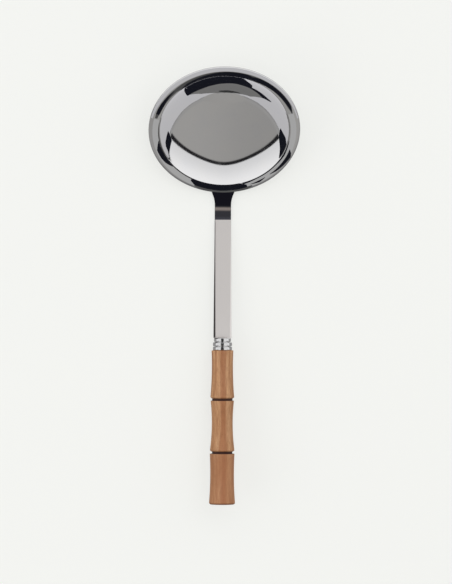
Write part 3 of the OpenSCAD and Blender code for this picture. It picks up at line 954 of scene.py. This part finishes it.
# %% [markdown]
# A light card runs round the wall of the bowl. A flag makes the dark band under the far rim, and a short
# flag ends the white crescent on either side. Each card has its tone, its distance in millimetres and its
# stations.

# %% Cards for the wall of the bowl
bowl_card("light card round the wall", LIGHT, 6.0, [
    (-18, 41.0, 38.9), (-5, 41.0, 34.9), (10, 41.0, 29.5), (25, 41.0, 24.8), (40, 41.0, 21.0),
    (55, 41.0, 18.6), (72, 41.0, 17.6), (108, 41.0, 17.6), (130, 41.0, 18.8), (145, 41.0, 20.8),
    (160, 41.0, 24.8), (175, 41.0, 29.5), (190, 41.0, 34.9), (198, 41.2, 38.0), (205, 41.2, 39.3),
    (211, 41.2, 40.6)])
bowl_card("grey card over the top of the eye", CEILING, 7.0, [
    (40, 19.0, 15.0), (50, 19.0, 10.0), (90, 18.0, 6.0), (130, 19.0, 10.0), (140, 19.0, 15.0)])
bowl_card("dim card in the far wall", DIM, 5.0, [
    (35, 30.2, 29.8), (43, 30.0, 22.5), (60, 30.0, 18.6), (75, 29.0, 17.0), (90, 28.0, 16.4),
    (105, 28.0, 16.8), (120, 28.0, 19.4), (130, 29.0, 22.5), (139, 30.0, 29.5)])
bowl_card("small dark card", grey(0.05), 4.5, [
    (59, 20.0, 19.6), (75, 19.3, 17.2), (90, 19.0, 16.8), (101, 18.9, 18.0)])
bowl_card("flag under the far rim", BLACK, 4.0, [
    (29, 34.1, 33.0), (35, 33.0, 29.6), (56, 30.9, 29.0), (58, 33.0, 28.9), (62, 34.6, 28.6),
    (67, 36.0, 28.3), (72, 39.0, 28.1), (75, 41.4, 28.0), (90, 41.4, 26.8), (105, 41.4, 26.3),
    (120, 41.4, 26.6), (128, 41.4, 27.6), (134, 37.0, 28.6), (141, 30.7, 29.8)])
bowl_card("flag at the left end of the crescent", BLACK, 2.0, [
    (188, 36.0, 35.7), (193, 37.6, 35.3), (197, 38.9, 35.2), (201, 39.4, 35.3), (205, 39.5, 37.5),
    (209, 39.7, 39.5)])
bowl_card("flag at the right end of the crescent", BLACK, 2.0, [
    (329, 41.2, 40.8), (336, 41.2, 38.9), (345, 41.0, 35.9), (350, 39.6, 35.6), (353, 37.6, 35.6),
    (356, 36.0, 35.8)])

# %% [markdown]
# The lip is so strongly rounded that it mirrors very different parts of the room within a few millimetres.
# Light cards keep it bright, and flags draw the dark streaks that the photograph shows on it.

# %% Cards for the lip
bowl_card("light card outside the far lip", LIGHT, 5.0, [
    (12, 47.6, 46.9), (30, 47.7, 46.5), (60, 47.7, 46.0), (90, 47.7, 45.6), (120, 47.7, 45.6),
    (150, 47.7, 45.9), (168, 47.6, 46.6)])
bowl_card("light card over the lip", grey(0.56), 0.9, [
    (168, 45.6, 42.1), (210, 45.6, 42.1), (270, 45.4, 42.1), (330, 45.6, 42.1), (378, 45.6, 42.1)])
bowl_card("dark flag over the far lip", DARK, 5.0, [
    (18, 45.1, 44.5), (25, 46.3, 43.8), (45, 46.0, 43.2), (60, 45.8, 42.2), (66, 45.6, 41.5),
    (90, 45.5, 41.5), (128, 45.2, 41.5), (135, 45.0, 42.6), (150, 45.3, 42.8), (160, 45.6, 42.8),
    (167, 45.2, 43.8)])
bowl_card("flag over the far lip, right", BLACK, 4.0, [
    (20, 45.2, 44.8), (28, 46.2, 44.0), (45, 46.0, 43.4), (60, 45.7, 42.4), (67, 45.0, 41.9)])
bowl_card("flag over the far lip, middle", BLACK, 4.2, [
    (66, 44.6, 41.9), (72, 45.3, 41.5), (90, 45.2, 41.5), (124, 43.6, 41.5), (132, 42.0, 41.6)])
bowl_card("flag over the far lip, left", BLACK, 4.0, [
    (136, 44.4, 44.2), (152, 45.4, 43.0), (163, 45.5, 43.2)])
bowl_card("flag over the near lip", BLACK, 0.5, [
    (241, 43.0, 41.45), (246, 45.0, 41.45), (268, 45.6, 41.45), (284, 45.4, 41.45), (290, 45.2, 43.2)])
bowl_card("flag over the root of the neck", grey(0.12), 0.7, [
    (246, 45.6, 44.6), (252, 47.6, 44.8), (270, 47.7, 45.2), (288, 47.6, 44.8), (294, 45.8, 44.8)])
bowl_card("dark line along the left shoulder", grey(0.04), 0.3, [
    (172, 41.9, 41.7), (185, 42.0, 41.5), (215, 42.0, 41.45), (243, 42.0, 41.45)])
bowl_card("flag over the left of the lip", BLACK, 0.5, [
    (190, 42.3, 42.1), (199, 44.9, 42.0), (207, 44.7, 42.0), (213, 44.1, 42.0), (220, 42.3, 42.0)])
bowl_card("small flag over the right of the lip", BLACK, 0.5, [
    (293, 43.9, 43.7), (301, 45.1, 43.6), (307, 44.0, 43.7)])
bowl_card("flag over the right of the lip", BLACK, 0.5, [
    (312, 44.0, 43.7), (318, 45.2, 43.8), (328, 46.2, 43.8), (335, 46.8, 43.8), (339, 45.6, 43.7),
    (342, 44.0, 43.7)])
bowl_card("flag over the right shoulder", BLACK, 0.3, [
    (287, 42.6, 41.5), (300, 42.1, 41.5), (322, 42.1, 41.5), (334, 42.6, 41.5), (350, 41.9, 41.6)])

# %% [markdown]
# The flat shank mirrors only what is straight above it, so one light card keeps it bright, and flags over
# and beside its left edge darken the rounded side there. Above the collar a narrow flag between two light
# cards draws a dark line down the beads, with a bright band on either side, which makes them look round.

# %% Cards for the shank and the collar
OVER_SHANK, OVER_EDGE, BESIDE_SHANK, OVER_COLLAR = 3, 0.6, 3, 9
SHANK_CARD_HALF_W, SHANK_CARD_START, SHANK_CARD_END = 9, -SHANK_LEN + 0.2, 1
COLLAR_CARD_SPARE = 14
COLLAR_SPAN = (HANDLE_Y - COLLAR_CARD_SPARE, -SHANK_LEN + COLLAR_CARD_SPARE)


def flat_card(name, tone, places, z):
    """A level card in the side view's frame, through places given by x and y."""
    card(name, tone, [AT_REST @ Vector((x, y, z)) for x, y in places], [(0, 1, 2, 3)])


def oblong(x, y):
    """The corners of an oblong between two values of x and of y."""
    return [(x[0], y[0]), (x[1], y[0]), (x[1], y[1]), (x[0], y[1])]


def side_card(name, tone, x, z):
    """A standing card along the shank, at one value of x and between two heights."""
    card(name, tone, [AT_REST @ Vector((x, y, height)) for y, height in oblong((-SHANK_LEN, 0), z)],
         [(0, 1, 2, 3)])


shank_span = oblong((-SHANK_CARD_HALF_W, SHANK_CARD_HALF_W), (SHANK_CARD_START, SHANK_CARD_END))
flat_card("light card over the shank", grey(0.68), shank_span, SHANK_T / 2 + OVER_SHANK)
side_card("flag left of the shank", grey(0.03), -SHANK_W / 2 - BESIDE_SHANK, (-7, 6.5))
edge_places = [(-4, -1), (0.65, -1), (1.2, -SHANK_LEN), (-4, -SHANK_LEN)]
flat_card("flag over the left edge of the shank", grey(0.1),
          [(x - SHANK_W / 2, y) for x, y in edge_places], SHANK_T / 2 + OVER_EDGE)
side_card("light card right of the shank", grey(0.9), SHANK_W / 2 + BESIDE_SHANK, (-7, 4))
for name, brightness, span in (("flag over the collar", 0.045, (-4.6, 3.2)),
                               ("light card over the collar, left", 1.02, (-18, -5.0)),
                               ("light card over the collar, right", 1.02, (3.6, 18))):
    flat_card(name, grey(brightness), oblong(span, COLLAR_SPAN), RIB_D / 2 + OVER_COLLAR)

# %% [markdown]
# Two soft lamps light the wood and the floor at a plain level. They are large and far enough to leave only
# a faint shadow, and they don't show in the steel, which mirrors the room, the floor and the cards instead.

# %% Lamps


def lamp(name, place, size, power):
    """A square lamp that points at the ladle and doesn't show in mirrors."""
    data = bpy.data.lights.new(name, "AREA")
    data.shape = "SQUARE"
    data.size = size
    data.energy = power
    made = new_object(name, data)
    made.location = place
    made.rotation_euler = (-Vector(place)).to_track_quat("-Z", "Y").to_euler()
    made.visible_glossy = False
    print(name, "of", power, "W")


lamp("overhead lamp", (0.3, 0.5, 2.0), 1.6, 12.0)
lamp("side lamp", (-1.6, -0.4, 1.4), 1.4, 8.0)
